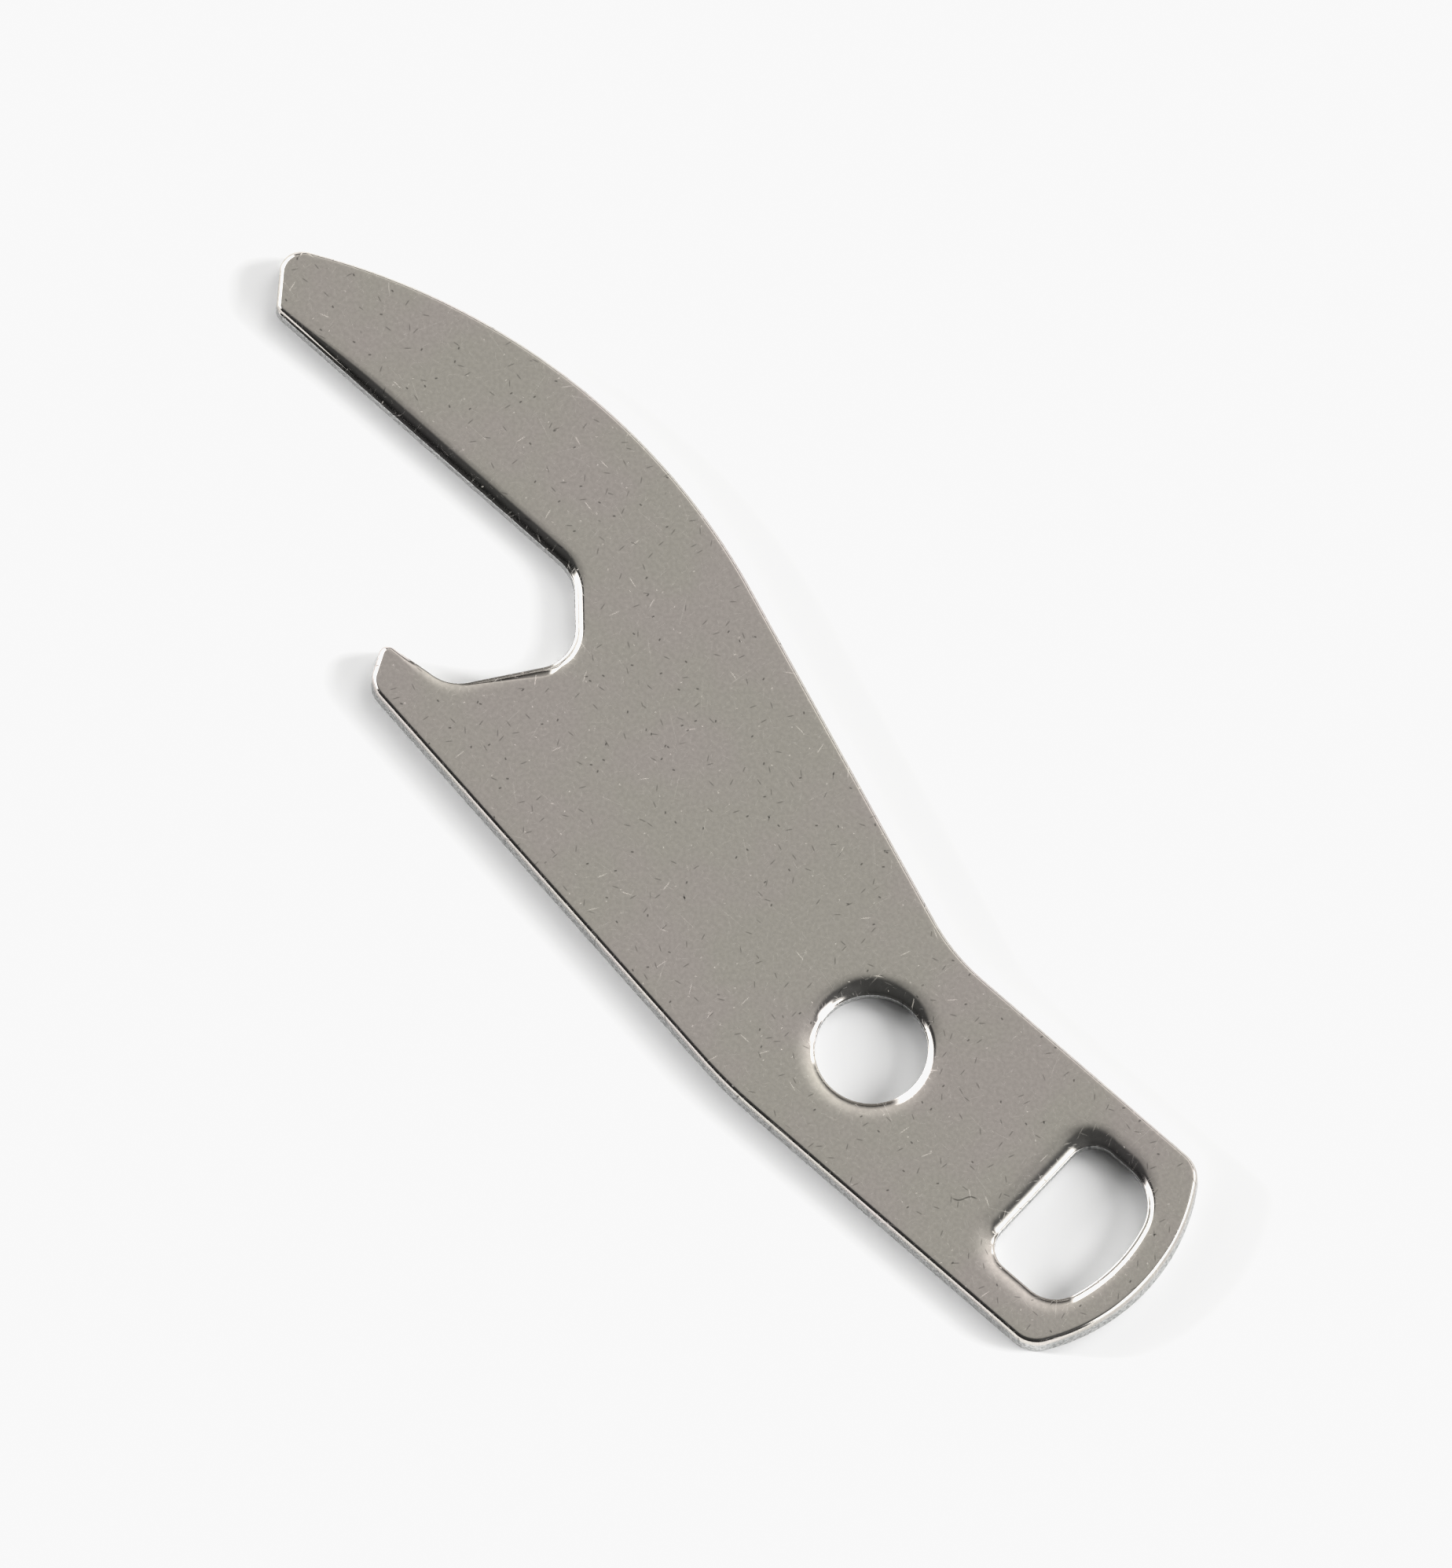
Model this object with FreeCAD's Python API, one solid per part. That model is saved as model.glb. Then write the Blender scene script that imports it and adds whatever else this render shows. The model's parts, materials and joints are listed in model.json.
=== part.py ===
"""Flat one-piece opener plate: a long curved arm over a short beak, with a hooked mouth between them.

Millimetres.  The origin is the centre of the round hole on the resting face.
+X runs along the tail towards the working end, +Y to the beak side, +Z up.
"""
import math
import os

import FreeCAD, Part

THICKNESS = 1.5

# Tail: a parallel strip closed by a wide arc centred on the hole's axis.
TAIL_HALF_WIDTH = 8.2
TAIL_END_X = -23.6
TAIL_END_RADIUS = 13.2
TAIL_END_CENTRE_X = TAIL_END_X + TAIL_END_RADIUS
TAIL_CORNER_RADIUS = 2.2

# Body: the far edge flares at 20 degrees, the beak edge closes in at 7.6 degrees.
FAR_WAIST_X = 0.35
FAR_FLARE = math.radians(20.0)
FAR_WAIST_RADIUS = 14.0
NEAR_WAIST_X = 5.3
NEAR_TAPER = math.radians(7.6)
NEAR_WAIST_RADIUS = 35.0

# Arm: its back is one arc, tangent to the far edge and ending at the tip.
ARM_BACK_START_X = 26.2
ARM_BACK_RADIUS = 45.0
TIP_OUTER_X = 63.65
TIP_OUTER_RADIUS = 1.5
TIP_INNER = (61.0, -11.03)
TIP_INNER_RADIUS = 0.8

# Mouth: the straight arm edge, the two throat sides and the inside of the beak.
THROAT_ARM_CORNER = (35.2, -10.8)
THROAT_ARM_RADIUS = 3.0
THROAT_DEEPEST_CORNER = (31.3, -6.65)
THROAT_DEEPEST_RADIUS = 2.6
THROAT_BEAK_CORNER = (36.1, 0.12)
THROAT_BEAK_RADIUS = 2.8
BEAK_TIP = (41.25, 0.62)
BEAK_TIP_RADIUS = 0.6
BEAK_HEEL_X = 39.9
BEAK_HEEL_RADIUS = 1.8

# Holes in the tail.
BORE_RADIUS = 3.6
SLOT_INNER_X = -14.25
SLOT_HALF_WIDTH = 5.1
SLOT_RING_WIDTH = 2.5
SLOT_INNER_CORNER_RADIUS = 1.7
SLOT_FAR_CORNER_RADIUS = 3.2
SLOT_NEAR_CORNER_RADIUS = 2.4

# Edges: tumbled on the outline, dished by the punch around the two holes.
OUTLINE_EDGE_RADIUS = 0.35
UNDERSIDE_EDGE_RADIUS = 0.15
DISH_WIDTH = 0.9
DISH_DEPTH = 0.35

UP = FreeCAD.Vector(0, 0, 1)
TOLERANCE = 1e-4


def point(x, y):
    """A point on the resting face."""
    return FreeCAD.Vector(x, y, 0)


def circle_y(x, centre_x, centre_y, radius):
    """The lower Y at which a circle passes over x."""
    return centre_y - math.sqrt(radius ** 2 - (x - centre_x) ** 2)


def line(start, end):
    """A straight edge between two (x, y) points."""
    return Part.makeLine(point(*start), point(*end))


def arc(start, end, centre, radius):
    """An edge from start to end on the circle, by the way that bulges from the centre."""
    middle = point((start[0] + end[0]) / 2, (start[1] + end[1]) / 2)
    outward = (middle - point(*centre)).normalize()
    top = point(*centre) + outward * radius
    return Part.Arc(point(*start), top, point(*end)).toShape()


def is_upright_at(edge, x, y):
    """True for a vertical edge standing over (x, y)."""
    ends = edge.Vertexes
    return len(ends) == 2 and all(math.hypot(end.X - x, end.Y - y) < TOLERANCE for end in ends)


def prism(edges, corners):
    """Extrude the closed outline and round its upright corners, each given as (x, y, radius)."""
    solid = Part.Face(Part.Wire(edges)).extrude(UP * THICKNESS)
    for x, y, radius in corners:
        upright = [edge for edge in solid.Edges if is_upright_at(edge, x, y)]
        solid = solid.makeFillet(radius, upright)
    return solid


def level_face(solid, height):
    """The solid's horizontal face at the given height."""
    for face in solid.Faces:
        box = face.BoundBox
        if box.ZLength < TOLERANCE and abs(box.ZMax - height) < TOLERANCE:
            return face


def blank():
    """The plate with its rounded outline and eased edges, before it is pierced."""
    end_x = TAIL_END_CENTRE_X - math.sqrt(TAIL_END_RADIUS ** 2 - TAIL_HALF_WIDTH ** 2)
    far_tail = (end_x, -TAIL_HALF_WIDTH)
    near_tail = (end_x, TAIL_HALF_WIDTH)
    near_waist = (NEAR_WAIST_X, TAIL_HALF_WIDTH)
    heel_y = TAIL_HALF_WIDTH - (BEAK_HEEL_X - NEAR_WAIST_X) * math.tan(NEAR_TAPER)
    heel = (BEAK_HEEL_X, heel_y)
    far_waist = (FAR_WAIST_X, -TAIL_HALF_WIDTH)
    back_y = -TAIL_HALF_WIDTH - (ARM_BACK_START_X - FAR_WAIST_X) * math.tan(FAR_FLARE)
    back_start = (ARM_BACK_START_X, back_y)
    back_centre = (ARM_BACK_START_X + ARM_BACK_RADIUS * math.sin(FAR_FLARE),
                   back_y + ARM_BACK_RADIUS * math.cos(FAR_FLARE))
    tip_outer = (TIP_OUTER_X, circle_y(TIP_OUTER_X, *back_centre, ARM_BACK_RADIUS))
    edges = [
        arc(far_tail, near_tail, (TAIL_END_CENTRE_X, 0), TAIL_END_RADIUS),
        line(near_tail, near_waist),
        line(near_waist, heel),
        line(heel, BEAK_TIP),
        line(BEAK_TIP, THROAT_BEAK_CORNER),
        line(THROAT_BEAK_CORNER, THROAT_DEEPEST_CORNER),
        line(THROAT_DEEPEST_CORNER, THROAT_ARM_CORNER),
        line(THROAT_ARM_CORNER, TIP_INNER),
        line(TIP_INNER, tip_outer),
        arc(tip_outer, back_start, back_centre, ARM_BACK_RADIUS),
        line(back_start, far_waist),
        line(far_waist, far_tail),
    ]
    corners = [
        (*far_tail, TAIL_CORNER_RADIUS),
        (*near_tail, TAIL_CORNER_RADIUS),
        (*near_waist, NEAR_WAIST_RADIUS),
        (*heel, BEAK_HEEL_RADIUS),
        (*BEAK_TIP, BEAK_TIP_RADIUS),
        (*THROAT_BEAK_CORNER, THROAT_BEAK_RADIUS),
        (*THROAT_DEEPEST_CORNER, THROAT_DEEPEST_RADIUS),
        (*THROAT_ARM_CORNER, THROAT_ARM_RADIUS),
        (*TIP_INNER, TIP_INNER_RADIUS),
        (*tip_outer, TIP_OUTER_RADIUS),
        (*far_waist, FAR_WAIST_RADIUS),
    ]
    solid = prism(edges, corners)
    solid = solid.makeFillet(UNDERSIDE_EDGE_RADIUS, level_face(solid, 0).OuterWire.Edges)
    return solid.makeFillet(OUTLINE_EDGE_RADIUS, level_face(solid, THICKNESS).OuterWire.Edges)


def slot():
    """The lanyard slot: straight across the tail, its outer side following the tail end."""
    radius = TAIL_END_RADIUS - SLOT_RING_WIDTH
    outer_x = TAIL_END_CENTRE_X - math.sqrt(radius ** 2 - SLOT_HALF_WIDTH ** 2)
    far_inner = (SLOT_INNER_X, -SLOT_HALF_WIDTH)
    near_inner = (SLOT_INNER_X, SLOT_HALF_WIDTH)
    far_outer = (outer_x, -SLOT_HALF_WIDTH)
    near_outer = (outer_x, SLOT_HALF_WIDTH)
    edges = [
        arc(far_outer, near_outer, (TAIL_END_CENTRE_X, 0), radius),
        line(near_outer, near_inner),
        line(near_inner, far_inner),
        line(far_inner, far_outer),
    ]
    corners = [
        (*far_inner, SLOT_INNER_CORNER_RADIUS),
        (*near_inner, SLOT_INNER_CORNER_RADIUS),
        (*far_outer, SLOT_FAR_CORNER_RADIUS),
        (*near_outer, SLOT_NEAR_CORNER_RADIUS),
    ]
    return prism(edges, corners)


def dish(cutter):
    """The shallow flare that the punch leaves around the rim of the hole made by the cutter."""
    rim = level_face(cutter, 0).OuterWire
    rim.translate(UP * (THICKNESS - DISH_DEPTH))
    lip = rim.makeOffset2D(DISH_WIDTH)
    lip.translate(UP * DISH_DEPTH)
    return Part.makeLoft([rim, lip], True)


def opener_plate():
    """The finished plate, pierced by the round hole and the slot."""
    plate = blank()
    for cutter in (Part.makeCylinder(BORE_RADIUS, THICKNESS), slot()):
        plate = plate.cut(cutter).cut(dish(cutter))
    return plate


os.makedirs("parts", exist_ok=True)
opener_plate().exportStep("parts/opener_plate.step")
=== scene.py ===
"""Case back opener: one punched and tumbled steel plate, finished in Blender around its CAD solid.

The plate's walls are read from the CAD mesh, so every outline here is the CAD outline. Rings of
points follow each wall from the underside to the top face and give the edges their worn shape:
a soft roll on the outside, and a pressed-in dish round the two holes and along the mouth.
Lengths are in metres.
"""

import json
import math

import bpy
import numpy as np
from mathutils import Matrix, Vector
from mathutils.geometry import delaunay_2d_cdt


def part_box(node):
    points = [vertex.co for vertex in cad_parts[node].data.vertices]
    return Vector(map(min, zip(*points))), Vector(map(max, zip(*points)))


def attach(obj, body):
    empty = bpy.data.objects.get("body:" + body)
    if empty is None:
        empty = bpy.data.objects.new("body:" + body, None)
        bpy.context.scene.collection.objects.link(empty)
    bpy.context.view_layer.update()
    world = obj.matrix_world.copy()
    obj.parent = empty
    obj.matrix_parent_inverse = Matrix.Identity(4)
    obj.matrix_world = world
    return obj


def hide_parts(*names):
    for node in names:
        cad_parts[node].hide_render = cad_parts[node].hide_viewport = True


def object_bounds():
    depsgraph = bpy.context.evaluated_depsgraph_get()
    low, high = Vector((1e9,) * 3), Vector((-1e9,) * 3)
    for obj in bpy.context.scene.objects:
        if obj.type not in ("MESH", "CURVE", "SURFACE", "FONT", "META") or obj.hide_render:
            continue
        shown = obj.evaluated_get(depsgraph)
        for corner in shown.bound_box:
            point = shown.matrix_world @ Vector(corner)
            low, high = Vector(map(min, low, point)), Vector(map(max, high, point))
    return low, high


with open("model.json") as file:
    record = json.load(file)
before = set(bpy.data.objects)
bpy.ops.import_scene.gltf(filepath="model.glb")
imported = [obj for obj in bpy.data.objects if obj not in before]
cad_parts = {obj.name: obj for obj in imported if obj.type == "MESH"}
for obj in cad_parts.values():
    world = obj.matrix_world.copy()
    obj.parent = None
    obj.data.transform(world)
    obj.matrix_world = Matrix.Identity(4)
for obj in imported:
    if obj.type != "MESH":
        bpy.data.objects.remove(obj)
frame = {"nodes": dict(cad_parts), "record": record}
cad_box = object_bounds()

PLATE_NODE = "opener_plate"
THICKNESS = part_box(PLATE_NODE)[1].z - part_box(PLATE_NODE)[0].z

# Reading the CAD mesh: what counts as an upright wall, as the wall's foot and as a straight stretch.
UPRIGHT_NORMAL_Z = 0.01
FOOT_ROOM = 1e-6
STRAIGHT_TURN = 1e-4

# The mesh: how closely points follow each other along an edge, and across the flat faces, whose
# points stay clear of the edges by a share of their spacing. Thinner triangles than a sliver are left out.
POINT_SPACING = 0.00016
POINT_TURN = math.radians(4)
FLAT_SPACING = 0.0005
FLAT_CLEARANCE = 0.6
MERGE_DISTANCE = 1e-9
SLIVER_AREA = 1e-11

# How many rings of points follow each stretch of the outer edge, from the underside to the top face.
# The punched edges have as many rings in all, so that one can blend into the other.
BREAK_RINGS = 5
WALL_RINGS = 6
ROLL_RINGS = 14
CROWN_RINGS = 4
EDGE_RINGS = BREAK_RINGS + WALL_RINGS + ROLL_RINGS + CROWN_RINGS
SHEARED_RINGS = BREAK_RINGS + WALL_RINGS - 1

# The outer edge: a small break underneath, a wall that leans in, and a roll on top. The wall is
# upright along the far side, which faces -Y, and at the tips.
UNDERSIDE_BREAK = 0.00015
WALL_LEAN = 0.00010
ROLL_WIDTH = 0.00031
ROLL_HEIGHT = 0.00042
ROLL_FLATNESS = 0.18

# The crown between the roll and the flat face is narrower near the tips, where there is less room.
CROWN_DROP = 0.000006
CROWN_WIDTH = 0.00035
TIP_REACH = 0.0035
TIP_ROOM = 0.15

# The tips of the arm and the beak face +X, and tumbling has turned their roll into a flatter bevel.
# The bevel comes in as the wall's outward X goes over the range in END_FACING.
END_ROLL_WIDTH = 0.00034
END_ROLL_HEIGHT = 0.00027
END_FLATNESS = 0.7
END_FACING = (0.50, 0.95)

# The punched edges: a dish pressed into the top face, a sheared land and a torn wall below it.
# Rings of points follow the dish over its steeper part, and the flat face's own points do the rest.
DISH_REACH = 0.0020
DISH_DEPTH = 0.00043
DISH_RING_REACH = 0.0014
RIM_BREAK = 0.00007
MOUTH_RIM_BREAK = 0.00016
LAND_HEIGHT = 0.00045
TEAR_WIDTH = 0.00010
MOUTH_TEAR_WIDTH = 0.00002
FOOT_INSET = 0.00003
FOOT_HEIGHT = 0.00002
TEAR_RINGS = 5
LAND_SHARES = (0.3, 1.0)
RIM_ANGLES = (math.radians(30), math.radians(60))

# The mouth's dish, as shares of a hole's: its width and depth at the tips of the arm and the beak,
# and its width midway. It grows over the reaches, and the blends are where it takes over from the roll.
TIP_DISH = 0.20
TIP_DEPTH = 0.6
MOUTH_DISH = 0.66
ARM_DISH_REACH = 0.009
BEAK_DISH_REACH = 0.006
ARM_BLEND = 0.0009
BEAK_BLEND = 0.0034

# The throat's floor and the beak are dished less, and a steep facet narrows along the floor.
# The floor starts where the wall's outward Y falls below FLOOR_START_FACING.
SHALLOW_DISH = 0.32
FACET_SLOPE = 0.42
FACET_WIDTH = 0.00075
FACET_LENGTH = 0.0065
FLOOR_START_FACING = -0.25
SHALLOW_BLEND = 0.0020

# The slot, unlike the hole, is longer across the plate than along it. Its dish is wider on the hole's
# side, and narrower where its wall faces this way, near the tail's end.
SLOT_LONGER = 1.1
SLOT_WIDENING = 0.3
SLOT_NARROWING = 0.35
SLOT_NARROW_FACING = math.radians(30)

# The view: an orthographic camera tipped from straight above, with the plate lying aslant.
CAMERA_TILT = math.radians(17)
CAMERA_TURN = math.radians(42.05)
CAMERA_DISTANCE = 0.6
FRAME_HEIGHT = 0.09975
AIM_FROM_CENTRE = Vector((-0.00106, -0.00075, 0.00075))

FLOOR_SIZE = 4.0
FLOOR_COLOUR = (0.88, 0.88, 0.88)
BACKGROUND = (1.0, 1.0, 1.0)

# The softboxes that the steel mirrors, in degrees: the bearings and the elevations that each one spans,
# and how soft its upper and lower borders are. East is the view's right, and north its top. Bearings go
# from east or from west, in both cases towards north.
EASTERN_SOFTBOXES = (
    (-52, -36, 0, 38, 12),
    (-36, -12, 0, 50, 14),
    (-12, 12, 0, 34, 6),
    (12, 31, 0, 23, 5),
)
WESTERN_SOFTBOXES = (
    (-7, 30, 0, 32, 5),
    (30, 72, 0, 34, 5),
)
SOFTBOX_SIDE_BLUR = 7
SOFTBOX_RADIANCE = 2.4
SOFTBOX_TINT = (1.0, 1.0, 1.0)
PANEL_TINT = (1.02, 1.0, 0.95)
ROOM_TINT = (0.98, 1.0, 1.02)

# The paper gets this share of the world's light, and the rest from lamps: their bearing from east,
# their elevation and their spread in degrees, and their strength.
WORLD_ON_PAPER = 0.35
KEY_LIGHTS = {
    "key_east": (0, 17, 26, 4.8),
    "key_south_east": (-25, 18, 26, 1.1),
    "key_north_east": (45, 40, 32, 0.75),
    "key_overhead": (52, 65, 44, 0.36),
    "key_west": (168, 9, 18, 7.9),
}

# The exposure curve is straight up to its shoulder, and then flatter up to the paper's white.
PAPER_WHITE = 0.942
SHOULDER = 0.86

# The steel's colours: the flat faces drift between two, and the sheared walls are darker.
FACE_COLOURS = ((0.636, 0.588, 0.563, 1), (0.621, 0.593, 0.545, 1))
WALL_COLOUR = (0.62, 0.62, 0.61, 1)
BUMP_HEIGHT = 0.00001

# Marks on the steel, at most one in each cell of a random pattern: cells per millimetre, width and
# length in millimetres, the share of cells that have one, a seed, and how strong they are.
# These marks are rougher, and they also lighten the steel's colour, which is a painted glint.
MARKS_WITH_PAINTED_GLINT = {
    "fine scratches": (1.1, 0.05, 0.42, 0.55, 3, 0.35),
    "short scratches": (2.3, 0.045, 0.2, 0.5, 11, 0.35),
    "long scratches": (0.33, 0.05, 1.3, 0.45, 23, 0.4),
    "specks": (0.8, 0.06, 0.10, 0.3, 53, 1.0),
    "nicks": (0.45, 0.055, 0.5, 0.3, 97, 1.0),
}
DARK_MARKS = {
    "pits": (1.2, 0.075, 0.13, 0.14, 37, 0.6),
    "dashes": (0.9, 0.055, 0.3, 0.4, 71, 0.4),
}

# The wavy scratch, in millimetres: its middle from the middle of the slot, where each half fades out,
# the height of its waves, and where its side fades out. The waves turn this many radians a millimetre.
CURL_FROM_SLOT = (6.0, 3.5)
CURL_END = (0.6, 0.9)
CURL_WAVE = 0.11
CURL_SIDE = (0.02, 0.07)
CURL_TURN = 4.2
CURL_STRENGTH = 0.6

MM_PER_M = 1000.0
DEGREES_PER_RADIAN = 180 / math.pi


# ---------------------------------------------------------------- small helpers

def smooth_step(values):
    """Goes smoothly from 0 to 1 as the values do, and stays there beyond."""
    values = np.clip(values, 0.0, 1.0)
    return values * values * (3 - 2 * values)


def turned(angle):
    """Unit vectors at these angles from +X."""
    return np.stack([np.cos(angle), np.sin(angle)], axis=-1)


def wrapped(angle):
    """The same angle, between half a turn either way."""
    return (angle + math.pi) % (2 * math.pi) - math.pi


def opening_box(name):
    """The low and high corners of one of the openings in the record."""
    openings = frame["record"]["physics"]["openings"]
    return next(opening["box_m"] for opening in openings if opening["name"] == name)


def compass():
    """East and north on the floor: the view's right, and its top."""
    east = Vector((-math.cos(CAMERA_TURN), -math.sin(CAMERA_TURN), 0))
    north = Vector((math.sin(CAMERA_TURN), -math.cos(CAMERA_TURN), 0))
    return east, north


# ---------------------------------------------------------------- outlines from the CAD mesh

def wall_chords(node):
    """The foot of each upright wall facet: its two ends, and half the turn of the wall between them."""
    mesh = frame["nodes"][node].data
    normals = mesh.corner_normals
    chords = []
    for facet in mesh.polygons:
        if abs(facet.normal.z) > UPRIGHT_NORMAL_Z:
            continue
        corners = [
            (mesh.vertices[mesh.loops[i].vertex_index].co, normals[i].vector)
            for i in facet.loop_indices
        ]
        foot_level = min(place.z for place, _ in corners)
        for (start, start_normal), (end, end_normal) in zip(corners, corners[1:] + corners[:1]):
            if max(start.z, end.z) > foot_level + FOOT_ROOM:
                continue
            heading = math.atan2(end.y - start.y, end.x - start.x)
            turns = [
                wrapped(math.atan2(normal.x, -normal.y) - heading) * side
                for normal, side in ((start_normal, -1), (end_normal, 1))
            ]
            chords.append((start.xy.copy(), end.xy.copy(), max(turns, key=abs)))
    return chords


def chained(chords):
    """The chords as closed loops, each in the order of walking round it."""
    def key(place):
        """The place in whole micrometres, which is the same for two ends that meet."""
        return round(place.x * 1e6), round(place.y * 1e6)

    after = {key(start): (start, end, half_turn) for start, end, half_turn in chords}
    loops = []
    while after:
        place = next(iter(after))
        loop = []
        while place in after:
            chord = after.pop(place)
            loop.append(chord)
            place = key(chord[1])
        loops.append(loop)
    return loops


def arc_points(start, end, half_turn):
    """Places and headings along one arc, without its last point."""
    chord = end - start
    count = math.ceil(max(chord.length / POINT_SPACING, 2 * abs(half_turn) / POINT_TURN))
    share = np.arange(count) / count
    heading = math.atan2(chord.y, chord.x)
    if abs(half_turn) > STRAIGHT_TURN:
        reach = chord.length * np.sin(half_turn * share) / math.sin(half_turn)
    else:
        reach = chord.length * share
    places = np.array(start) + reach[:, None] * turned(heading + half_turn * (share - 1))
    return places, heading + half_turn * (2 * share - 1)


class Edge:
    """One closed edge of the plate: its points, the way out of the material, and the way along."""

    def __init__(self, loop):
        pieces = [arc_points(*chord) for chord in loop]
        self.points = np.concatenate([places for places, _ in pieces])
        self.outward = turned(np.concatenate([headings for _, headings in pieces]) - math.pi / 2)
        steps = np.linalg.norm(np.roll(self.points, -1, axis=0) - self.points, axis=1)
        self.length = steps.sum()
        self.along = np.concatenate([[0], np.cumsum(steps)[:-1]])

    def onward(self, start):
        """The distance walked from one point to each other point."""
        return (self.along - self.along[start]) % self.length


# ---------------------------------------------------------------- edge profiles

def rolled_rings(edge):
    """The outer edge's insets and heights at every point, from the underside to the top face."""
    bevel = smooth_step((edge.outward[:, 0] - END_FACING[0]) / (END_FACING[1] - END_FACING[0]))
    width = ROLL_WIDTH + (END_ROLL_WIDTH - ROLL_WIDTH) * bevel
    height = ROLL_HEIGHT + (END_ROLL_HEIGHT - ROLL_HEIGHT) * bevel
    power = 1 + ROLL_FLATNESS + (END_FLATNESS - ROLL_FLATNESS) * bevel
    wall_top = THICKNESS - CROWN_DROP - height
    lean = WALL_LEAN * (1 - bevel) * (1 - smooth_step(-edge.outward[:, 1]))
    ones = np.ones_like(bevel)
    insets, heights = [], []
    for angle in np.linspace(0, math.pi / 2, BREAK_RINGS):
        insets.append(UNDERSIDE_BREAK * (1 - math.sin(angle)) * ones)
        heights.append(UNDERSIDE_BREAK * (1 - math.cos(angle)) * ones)
    for share in np.linspace(0, 1, WALL_RINGS + 1)[1:]:
        insets.append(lean * share)
        heights.append(UNDERSIDE_BREAK + (wall_top - UNDERSIDE_BREAK) * share)
    for angle in np.linspace(0, math.pi / 2, ROLL_RINGS + 1)[1:]:
        insets.append(lean + width * (1 - max(math.cos(angle), 0) ** power))
        heights.append(wall_top + height * math.sin(angle) ** power)
    crown_start = insets[-1]
    for share in np.linspace(0, 1, CROWN_RINGS + 1)[1:]:
        insets.append(crown_start + CROWN_WIDTH * share * tip_room(edge))
        heights.append((THICKNESS - CROWN_DROP * (1 - share) ** 2) * ones)
    return np.array(insets), np.array(heights)


def dish_sink(distance):
    """How far the top face sinks, ever faster towards a punched edge."""
    return DISH_DEPTH * np.clip(1 - distance / DISH_REACH, 0, 1) ** 4


def punched_wall(rim_break, tear_width):
    """The wall of a punched edge as (inset, height) pairs: its foot, tear, land and rounded rim."""
    rim = THICKNESS - DISH_DEPTH
    land_foot = rim - rim_break - LAND_HEIGHT
    rings = [(tear_width + 2 * FOOT_INSET, 0.0), (tear_width + FOOT_INSET, 0.0)]
    for share in np.linspace(0, 1, TEAR_RINGS):
        rings.append((tear_width * (1 - share), FOOT_HEIGHT + (land_foot - FOOT_HEIGHT) * share))
    rings += [(0.0, land_foot + LAND_HEIGHT * share) for share in LAND_SHARES]
    for angle in RIM_ANGLES:
        rings.append((rim_break * (1 - math.cos(angle)), rim - rim_break * (1 - math.sin(angle))))
    return np.array(rings)


def dished_rings(width, depth=1.0, facet=0.0, rim_break=RIM_BREAK, tear_width=TEAR_WIDTH):
    """A punched edge under a dish of this width and depth (as shares) at every point, with a facet."""
    wall = punched_wall(rim_break, tear_width)
    rise = np.linspace(0, 1, EDGE_RINGS - len(wall))[:, None] * DISH_RING_REACH
    sink = dish_sink(rise) * depth + FACET_SLOPE * np.maximum(facet - rise * width, 0)
    rim = (THICKNESS - sink[0]) / (THICKNESS - DISH_DEPTH)
    insets = np.concatenate([wall[:, :1] * np.ones_like(width), rim_break + rise * width])
    heights = np.concatenate([wall[:, 1:] * rim, THICKNESS - sink])
    return insets, heights


def hole_rings(edge):
    """A hole's edge: its insets and heights, and the width and depth of its dish as shares."""
    width = np.ones(len(edge.points))
    length_x, length_y = np.ptp(edge.points, axis=0)
    if length_y > SLOT_LONGER * length_x:
        width += SLOT_WIDENING * np.clip(-edge.outward[:, 0], 0, 1) ** 2
        width -= SLOT_NARROWING * np.clip(edge.outward @ turned(SLOT_NARROW_FACING), 0, 1) ** 2
    return *dished_rings(width), width, np.ones_like(width)


def mouth_tips(edge):
    """The points where the outer edge turns into the mouth: at the tip of the arm, and of the beak."""
    mouth_top = opening_box("mouth_entry")[1][1]
    arm_corner = np.argmax(edge.points.sum(axis=1))
    beak_tip = np.argmax(np.where(edge.points[:, 1] > mouth_top, edge.points[:, 0], -1))
    return arm_corner, beak_tip


def tip_room(edge):
    """The share of the crown's width that fits at each point, as there is less room near the tips."""
    distance = np.full(len(edge.points), np.inf)
    for tip in mouth_tips(edge):
        away = edge.onward(tip)
        distance = np.minimum(distance, np.minimum(away, edge.length - away))
    return TIP_ROOM + (1 - TIP_ROOM) * smooth_step(distance / TIP_REACH)


def outer_rings(edge):
    """The outer edge, which is rolled all round and turns into a dished edge along the mouth."""
    arm_corner, beak_tip = mouth_tips(edge)
    from_arm = edge.onward(arm_corner)
    mouth_length = from_arm[beak_tip]
    to_beak = mouth_length - from_arm
    in_mouth = smooth_step(from_arm / ARM_BLEND) * smooth_step(to_beak / BEAK_BLEND)
    widening = smooth_step(from_arm / ARM_DISH_REACH) * smooth_step(to_beak / BEAK_DISH_REACH)
    rolled_inset, rolled_height = rolled_rings(edge)

    width = TIP_DISH + (MOUTH_DISH - TIP_DISH) * widening
    floor_start = from_arm[(edge.outward[:, 1] < FLOOR_START_FACING) & (from_arm < mouth_length)].min()
    along_floor = from_arm - floor_start
    shallow = smooth_step(along_floor / SHALLOW_BLEND + 0.5)
    facet = FACET_WIDTH * shallow * np.clip(1 - along_floor / FACET_LENGTH, 0, 1)
    depth = (TIP_DEPTH + (1 - TIP_DEPTH) * widening) * (1 - (1 - SHALLOW_DISH) * shallow)
    dished_inset, dished_height = dished_rings(width, depth, facet, MOUTH_RIM_BREAK, MOUTH_TEAR_WIDTH)
    return (
        rolled_inset + (dished_inset - rolled_inset) * in_mouth,
        rolled_height + (dished_height - rolled_height) * in_mouth,
        np.where(in_mouth > 0.5, width, 0),
        depth,
    )


# ---------------------------------------------------------------- the plate's mesh

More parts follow.
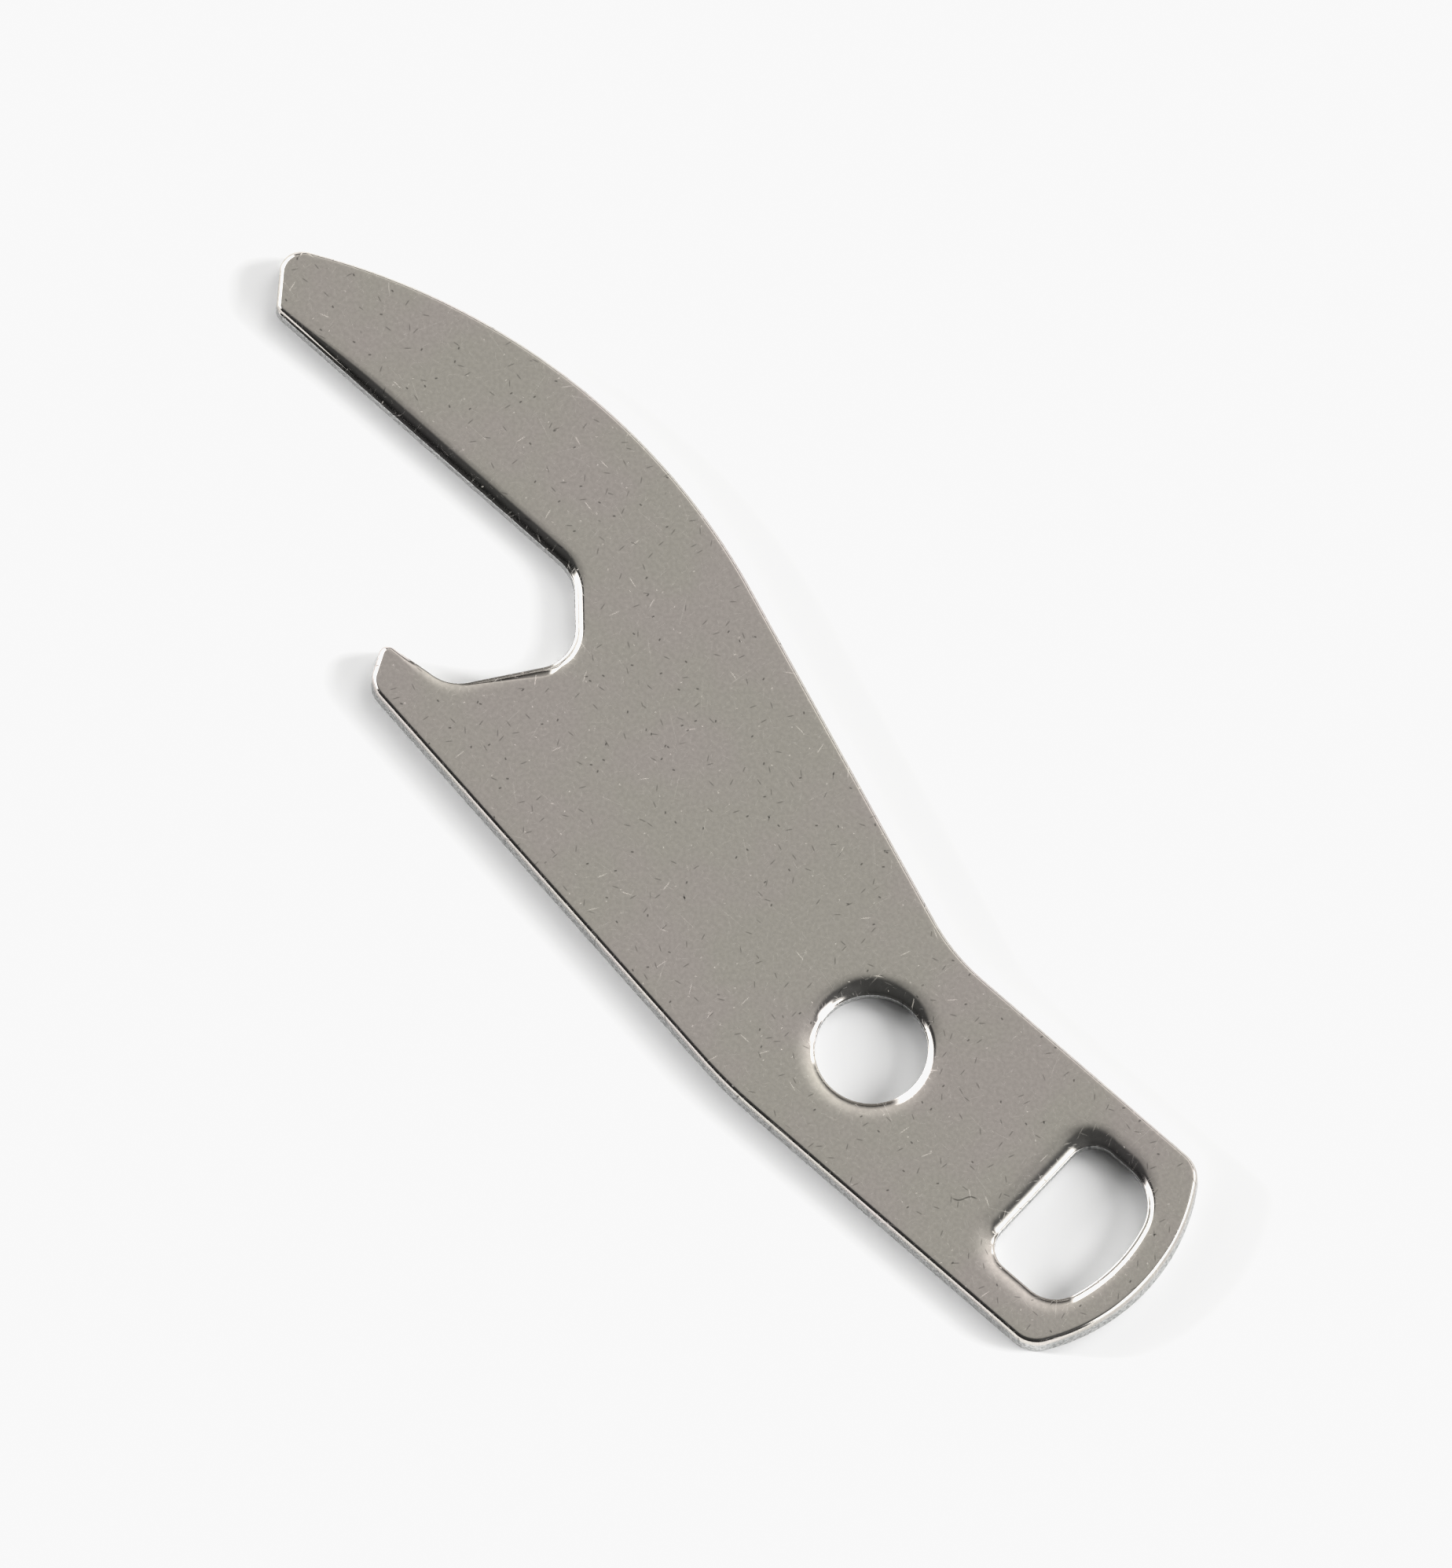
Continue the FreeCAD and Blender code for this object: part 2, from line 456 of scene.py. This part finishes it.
def crossings(points, loops):
    """Whether each point lies in the area between the loops. A level stretch is never crossed."""
    inside = np.zeros(len(points), bool)
    x, y = points[:, :1], points[:, 1:]
    for loop in loops:
        start, end = loop, np.roll(loop, -1, axis=0)
        rise = np.where(end[:, 1] == start[:, 1], 1e-12, end[:, 1] - start[:, 1])
        spans = (start[:, 1] > y) != (end[:, 1] > y)
        left = x < start[:, 0] + (y - start[:, 1]) * (end[:, 0] - start[:, 0]) / rise
        inside ^= (np.count_nonzero(spans & left, axis=1) % 2).astype(bool)
    return inside


def face_points(loops):
    """A regular scatter of points on a flat face, clear of its edges."""
    rim = np.concatenate(loops)
    low, high = rim.min(axis=0), rim.max(axis=0)
    columns = np.arange(low[0], high[0], FLAT_SPACING)
    rows = np.arange(low[1], high[1], FLAT_SPACING * math.sqrt(0.75))
    shifts = [FLAT_SPACING / 2 * (i % 2) for i in range(len(rows))]
    grid = np.array([(x + shift, y) for shift, y in zip(shifts, rows) for x in columns])
    grid = grid[crossings(grid, loops)]
    nearest = np.array([np.min(np.sum((rim - place) ** 2, axis=1)) for place in grid])
    return grid[nearest > (FLAT_SPACING * FLAT_CLEARANCE) ** 2]


def sunk_height(places, rims, widths, depths):
    """The height of the top face, which follows the dish of the nearest punched edge."""
    heights = []
    for place in places:
        distance = np.linalg.norm(rims - place, axis=1)
        nearest = np.argmin(distance)
        heights.append(THICKNESS - depths[nearest] * dish_sink(distance[nearest] / widths[nearest]))
    return heights


def fill_face(loops, starts, height_at, upwards, vertices, faces):
    """Fills the area between the loops with triangles that share the loops' own vertices."""
    grid = face_points(loops)
    first_grid = len(vertices)
    vertices += [(x, y, z) for (x, y), z in zip(grid, height_at(grid))]
    flat = np.concatenate(loops + [grid])
    firsts = [*starts, first_grid]
    owners = np.concatenate([first + np.arange(len(group)) for group, first in zip(loops + [grid], firsts)])
    borders = []
    first = 0
    for loop in loops:
        borders += [(first + i, first + (i + 1) % len(loop)) for i in range(len(loop))]
        first += len(loop)
    points = [Vector(place) for place in flat]
    filled = delaunay_2d_cdt(points, borders, [], 0, MERGE_DISTANCE)
    places, triangles, sources = filled[0], filled[2], filled[3]
    owner = [owners[source[0]] for source in sources]
    corners = np.array(places)[np.array(triangles)]
    sides = corners[:, 1:] - corners[:, :1]
    area = np.abs(sides[:, 0, 0] * sides[:, 1, 1] - sides[:, 0, 1] * sides[:, 1, 0]) / 2
    kept = crossings(corners.mean(axis=1), loops) & (area > SLIVER_AREA)
    for triangle in np.array(triangles)[kept]:
        face = [int(owner[i]) for i in triangle]
        faces.append(face if upwards else face[::-1])


def add_edge(edge, insets, heights, vertices, faces):
    """Adds an edge's rings and the bands between them, and gives where its bottom and top rings start."""
    count = len(edge.points)
    first = len(vertices)
    for inset, height in zip(insets, heights):
        places = edge.points - edge.outward * inset[:, None]
        vertices += [(x, y, z) for (x, y), z in zip(places, height)]
    for ring in range(EDGE_RINGS - 1):
        low, high = first + ring * count, first + (ring + 1) * count
        for i in range(count):
            onward = (i + 1) % count
            faces.append((low + i, low + onward, high + onward, high + i))
    return first, first + (EDGE_RINGS - 1) * count


def plate_mesh():
    """The whole plate as one closed mesh, with an attribute that marks its sheared walls."""
    edges = [Edge(loop) for loop in chained(wall_chords(PLATE_NODE))]
    outer = max(edges, key=lambda edge: np.ptp(edge.points[:, 0]))
    vertices, faces = [], []
    top_loops, top_starts, bottom_loops, bottom_starts = [], [], [], []
    rims, widths, depths, walls = [], [], [], []
    for edge in edges:
        insets, heights, width, depth = outer_rings(edge) if edge is outer else hole_rings(edge)
        dished = width > 0
        rims.append(edge.points[dished])
        widths.append(width[dished])
        depths.append(depth[dished])
        first, last = add_edge(edge, insets, heights, vertices, faces)
        walls += range(first, first + SHEARED_RINGS * len(edge.points))
        bottom_loops.append(edge.points - edge.outward * insets[0][:, None])
        bottom_starts.append(first)
        top_loops.append(edge.points - edge.outward * insets[-1][:, None])
        top_starts.append(last)
    dishes = [np.concatenate(values) for values in (rims, widths, depths)]
    fill_face(top_loops, top_starts, lambda grid: sunk_height(grid, *dishes), True, vertices, faces)
    fill_face(bottom_loops, bottom_starts, lambda grid: np.zeros(len(grid)), False, vertices, faces)
    mesh = bpy.data.meshes.new("opener_body")
    mesh.from_pydata(vertices, [], faces)
    mesh.update()
    mesh.shade_smooth()
    sheared = np.zeros(len(vertices))
    sheared[walls] = 1
    mesh.attributes.new("sheared", "FLOAT", "POINT").data.foreach_set("value", sheared)
    return mesh


# ---------------------------------------------------------------- node helpers

class Nodes:
    """Adds and links nodes in one tree, so that a material reads as a list of steps."""

    def __init__(self, tree):
        self.tree = tree
        tree.nodes.clear()

    def add(self, kind, inputs=None, **settings):
        node = self.tree.nodes.new(kind)
        for name, value in settings.items():
            setattr(node, name, value)
        for name, value in (inputs or {}).items():
            self.put(node.inputs[name], value)
        return node

    def put(self, socket, value):
        if isinstance(value, bpy.types.NodeSocket):
            self.tree.links.new(value, socket)
        else:
            socket.default_value = value

    def maths(self, operation, *values, clamp=False):
        inputs = dict(enumerate(values))
        return self.add("ShaderNodeMath", inputs, operation=operation, use_clamp=clamp).outputs[0]

    def vector(self, operation, first, second):
        """A scale's factor is the node's fourth input, and any other second value its second."""
        places = (0, 3) if operation == "SCALE" else (0, 1)
        node = self.add("ShaderNodeVectorMath", dict(zip(places, (first, second))), operation=operation)
        return node.outputs["Value" if operation == "DOT_PRODUCT" else "Vector"]

    def ramp(self, value, low, high, start=0.0, end=1.0):
        """Goes smoothly from start to end while value goes from low to high."""
        inputs = {"Value": value, "From Min": low, "From Max": high, "To Min": start, "To Max": end}
        node = self.add("ShaderNodeMapRange", inputs, interpolation_type="SMOOTHSTEP")
        return node.outputs["Result"]

    def window(self, value, low, high, blur):
        """One between low and high, and nothing outside, with soft edges."""
        rise = self.ramp(value, low - blur / 2, low + blur / 2)
        fall = self.ramp(value, high - blur / 2, high + blur / 2, 1.0, 0.0)
        return self.maths("MULTIPLY", rise, fall)

    def times(self, *values):
        result = values[0]
        for value in values[1:]:
            result = self.maths("MULTIPLY", result, value)
        return result

    def plus(self, *values, clamp=False):
        result = values[0]
        for value in values[1:]:
            result = self.maths("ADD", result, value, clamp=clamp)
        return result

    def blend(self, amount, first, second):
        """Two colours mixed: the node's colour sockets are its inputs 6 and 7, and its output 2."""
        node = self.add("ShaderNodeMix", {0: amount, 6: first, 7: second}, data_type="RGBA")
        return node.outputs[2]


# ---------------------------------------------------------------- steel

def scratches(nodes, place, scale, width, length, share, seed, strength):
    """Short straight marks, each at its own angle, in a random pattern that the seed shifts."""
    shifted = nodes.vector("ADD", place, (seed * 0.37, seed * 0.73, 0))
    inputs = {"Vector": shifted, "Scale": scale}
    cells = nodes.add("ShaderNodeTexVoronoi", inputs, voronoi_dimensions="2D")
    offset = nodes.vector("SUBTRACT", shifted, cells.outputs["Position"])
    chance = nodes.add("ShaderNodeSeparateColor", {"Color": cells.outputs["Color"]})
    angle = nodes.maths("MULTIPLY", chance.outputs["Red"], 2 * math.pi)
    spun = nodes.add("ShaderNodeVectorRotate", {"Vector": offset, "Angle": angle}, rotation_type="Z_AXIS")
    axes = nodes.add("ShaderNodeSeparateXYZ", {"Vector": spun.outputs[0]})
    reach = nodes.times(nodes.maths("ABSOLUTE", axes.outputs["X"]), 1 / length)
    fading = nodes.ramp(reach, 0.3, 1.0, 1.0, 0.0)
    across = nodes.maths("ABSOLUTE", axes.outputs["Y"])
    line = nodes.ramp(across, width * 0.25, width, 1.0, 0.0)
    chosen = nodes.ramp(chance.outputs["Green"], share, share - 0.04)
    return nodes.times(line, fading, chosen, strength)


def curl(nodes, place):
    """One short wavy scratch, between the hole and the slot."""
    low, high = opening_box("lanyard_slot")
    centre = [(a + b) / 2 * MM_PER_M + shift for a, b, shift in zip(low, high, CURL_FROM_SLOT)]
    offset = nodes.vector("SUBTRACT", place, (*centre, 0))
    east, north = compass()
    along = nodes.vector("DOT_PRODUCT", offset, tuple(east))
    across = nodes.vector("DOT_PRODUCT", offset, tuple(north))
    wave = nodes.times(nodes.maths("SINE", nodes.times(along, CURL_TURN)), CURL_WAVE)
    line = nodes.ramp(nodes.maths("ABSOLUTE", nodes.maths("SUBTRACT", across, wave)), *CURL_SIDE, 1.0, 0.0)
    ends = nodes.ramp(nodes.maths("ABSOLUTE", along), *CURL_END, 1.0, 0.0)
    return nodes.times(line, ends, CURL_STRENGTH)


def steel():
    """Tumbled stainless steel: a satin mirror with fine scratches, nicks, pits and specks, a painted glint
    on the bright ones, and torn sheared walls.
    """
    material = bpy.data.materials.new("tumbled_steel")
    material.use_nodes = True
    nodes = Nodes(material.node_tree)
    place = nodes.vector("SCALE", nodes.add("ShaderNodeTexCoord").outputs["Object"], MM_PER_M)
    sheared = nodes.add("ShaderNodeAttribute", attribute_name="sheared").outputs["Fac"]

    def noise(scale, detail=2.0, shift=0.0):
        """Cloudy noise, with its scale per millimetre, read from a place of its own."""
        moved = nodes.vector("ADD", place, (shift, shift, shift))
        inputs = {"Vector": moved, "Scale": scale, "Detail": detail}
        return nodes.add("ShaderNodeTexNoise", inputs).outputs["Fac"]

    marks_and_glint = nodes.plus(*(scratches(nodes, place, *kind) for kind in MARKS_WITH_PAINTED_GLINT.values()))
    dark_marks = [scratches(nodes, place, *kind) for kind in DARK_MARKS.values()]
    dark = nodes.plus(*dark_marks, curl(nodes, place), clamp=True)

    mottle = nodes.ramp(noise(0.16), 0.35, 0.65)
    face_colour = nodes.blend(mottle, *FACE_COLOURS)
    steel_colour = nodes.blend(sheared, face_colour, WALL_COLOUR)
    grain = nodes.ramp(noise(4.0, 3.0, 5.0), 0.3, 0.7, 0.93, 1.05)
    torn = nodes.ramp(noise(5.0, 4.0, 9.0), 0.36, 0.58, 0.55, 1.0)
    level = nodes.times(
        grain,
        nodes.maths("SUBTRACT", 1.0, dark),
        # The bright marks lighten the colour here: a painted glint.
        nodes.plus(1.0, nodes.times(marks_and_glint, 0.3)),
        nodes.plus(1.0, nodes.times(sheared, nodes.maths("SUBTRACT", torn, 1.0))),
    )
    colour = nodes.vector("SCALE", steel_colour, level)

    roughness = nodes.plus(
        nodes.ramp(noise(0.8, 3.0, 2.0), 0.3, 0.7, 0.10, 0.14),
        nodes.times(marks_and_glint, 0.5),
        nodes.times(sheared, 0.2),
        clamp=True,
    )
    relief = nodes.plus(
        nodes.times(noise(2.2, 3.0), 0.4),
        nodes.times(sheared, noise(7.0, 4.0, 4.0), 3.0),
        nodes.times(marks_and_glint, -0.6),
        nodes.times(dark, -0.8),
    )
    bump = nodes.add("ShaderNodeBump", {"Height": relief, "Strength": 0.25, "Distance": BUMP_HEIGHT})
    finish = {"Metallic": 1.0, "Base Color": colour, "Roughness": roughness, "Normal": bump.outputs[0]}
    shader = nodes.add("ShaderNodeBsdfPrincipled", finish)
    output = nodes.add("ShaderNodeOutputMaterial")
    nodes.tree.links.new(shader.outputs[0], output.inputs["Surface"])
    return material


# ---------------------------------------------------------------- studio

def add_camera():
    """An orthographic camera that looks at the middle of the plate, a little aside."""
    east, north = compass()
    up = north * math.cos(CAMERA_TILT) + Vector((0, 0, math.sin(CAMERA_TILT)))
    back = east.cross(up)
    low, high = (Vector(corner) for corner in cad_box)
    aim = (low + high) / 2 + AIM_FROM_CENTRE
    data = bpy.data.cameras.new("view_camera")
    data.type = "ORTHO"
    data.ortho_scale = FRAME_HEIGHT
    camera = bpy.data.objects.new("view_camera", data)
    rotation = Matrix((east, up, back)).transposed().to_4x4()
    camera.matrix_world = Matrix.Translation(aim + back * CAMERA_DISTANCE) @ rotation
    bpy.context.scene.collection.objects.link(camera)
    bpy.context.scene.camera = camera


def add_floor():
    """A large sheet of matt paper, level with the plate's underside."""
    mesh = bpy.data.meshes.new("studio_floor")
    half = FLOOR_SIZE / 2
    corners = [(-half, -half, 0), (half, -half, 0), (half, half, 0), (-half, half, 0)]
    mesh.from_pydata(corners, [], [(0, 1, 2, 3)])
    floor = bpy.data.objects.new("studio_floor", mesh)
    bpy.context.scene.collection.objects.link(floor)
    material = bpy.data.materials.new("pale_paper")
    material.use_nodes = True
    shader = material.node_tree.nodes["Principled BSDF"]
    shader.inputs["Base Color"].default_value = (*FLOOR_COLOUR, 1)
    shader.inputs["Roughness"].default_value = 0.9
    shader.inputs["Specular IOR Level"].default_value = 0.0
    mesh.materials.append(material)


def overhead_panel(nodes, east, north, elevation):
    """The radiance of a broad dim panel overhead, which the flat faces mirror."""
    behind_camera = nodes.ramp(nodes.maths("ABSOLUTE", east), 0.0, 0.2, 0.11, 0.0)
    southern_border = nodes.ramp(nodes.maths("SUBTRACT", north, behind_camera), -0.12, 0.08)
    southern_shade = nodes.ramp(north, 0.10, 0.30, 0.62, 1.0)
    western_border = nodes.ramp(east, -0.70, -0.62)
    lower_border = nodes.ramp(elevation, 2.0, 30.0)
    brighter_east = nodes.ramp(east, 0.0, 0.85, 0.0, 0.5)
    brighter_north = nodes.ramp(north, 0.29, 0.8, 0.0, 0.28)
    radiance = nodes.plus(0.455, brighter_east, brighter_north)
    return nodes.times(southern_border, southern_shade, western_border, lower_border, radiance)


def softboxes(nodes, east, north, elevation):
    """The radiance of the bright boxes that stand round the plate."""
    bearing = nodes.times(nodes.maths("ARCTAN2", north, east), DEGREES_PER_RADIAN)
    west = nodes.times(east, -1.0)
    from_west = nodes.times(nodes.maths("ARCTAN2", north, west), DEGREES_PER_RADIAN)
    boxes = [
        nodes.times(
            nodes.window(angle, start, end, SOFTBOX_SIDE_BLUR),
            nodes.window(elevation, low, high, blur),
        )
        for angle, side in ((bearing, EASTERN_SOFTBOXES), (from_west, WESTERN_SOFTBOXES))
        for start, end, low, high, blur in side
    ]
    return nodes.times(nodes.plus(*boxes), SOFTBOX_RADIANCE)


def add_studio():
    """Soft lights around a dark room, which the steel mirrors, and a white background for the camera."""
    world = bpy.data.worlds.new("studio")
    bpy.context.scene.world = world
    world.use_nodes = True
    nodes = Nodes(world.node_tree)
    ray = nodes.add("ShaderNodeTexCoord").outputs["Generated"]
    east, north = (nodes.vector("DOT_PRODUCT", ray, tuple(way)) for way in compass())
    height = nodes.vector("DOT_PRODUCT", ray, (0.0, 0.0, 1.0))
    elevation = nodes.times(nodes.maths("ARCSINE", height), DEGREES_PER_RADIAN)

    dim = nodes.plus(nodes.ramp(height, 0.1, 0.95, 0.015, 0.075), nodes.ramp(east, 0.0, 0.3, 0.0, 0.05))
    room = nodes.vector("SCALE", ROOM_TINT, dim)
    panel = nodes.vector("SCALE", PANEL_TINT, overhead_panel(nodes, east, north, elevation))
    boxes = nodes.vector("SCALE", SOFTBOX_TINT, softboxes(nodes, east, north, elevation))
    colour = nodes.vector("ADD", nodes.vector("ADD", room, panel), boxes)
    path = nodes.add("ShaderNodeLightPath").outputs
    kept = nodes.maths("SUBTRACT", 1.0, nodes.times(path["Is Diffuse Ray"], 1.0 - WORLD_ON_PAPER))
    shown = nodes.blend(path["Is Camera Ray"], nodes.vector("SCALE", colour, kept), (*BACKGROUND, 1))
    background = nodes.add("ShaderNodeBackground", {"Color": shown})
    output = nodes.add("ShaderNodeOutputWorld")
    nodes.tree.links.new(background.outputs[0], output.inputs["Surface"])


def add_key_light(name, bearing, elevation, spread, strength):
    """A far, soft lamp that only lights the paper: the steel already mirrors the softboxes."""
    east, north = compass()
    level = east * math.cos(bearing) + north * math.sin(bearing)
    towards_lamp = level * math.cos(elevation) + Vector((0, 0, math.sin(elevation)))
    data = bpy.data.lights.new(name, "SUN")
    data.angle = spread
    data.energy = strength
    lamp = bpy.data.objects.new(name, data)
    lamp.rotation_euler = towards_lamp.to_track_quat("Z", "Y").to_euler()
    lamp.visible_glossy = False
    bpy.context.scene.collection.objects.link(lamp)


def set_exposure():
    """The paper is a little overexposed, so that it reads as an even near-white.

    The curve mapping's last curve is the one for all three colours together.
    """
    view = bpy.context.scene.view_settings
    view.view_transform = "Standard"
    view.use_curve_mapping = True
    *_, curve = view.curve_mapping.curves
    curve.points[0].location = (0.0, 0.0)
    curve.points[1].location = (1.0, PAPER_WHITE)
    curve.points.new(SHOULDER, SHOULDER)
    for point in curve.points:
        point.handle_type = "VECTOR"
    view.curve_mapping.extend = "HORIZONTAL"
    view.curve_mapping.update()


# ---------------------------------------------------------------- assembly

plate = bpy.data.objects.new("opener_body", plate_mesh())
bpy.context.scene.collection.objects.link(plate)
plate.data.materials.append(steel())
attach(plate, "root")
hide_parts(PLATE_NODE)

add_floor()
add_studio()
for light, (bearing, elevation, spread, strength) in KEY_LIGHTS.items():
    add_key_light(light, math.radians(bearing), math.radians(elevation), math.radians(spread), strength)
add_camera()
set_exposure()
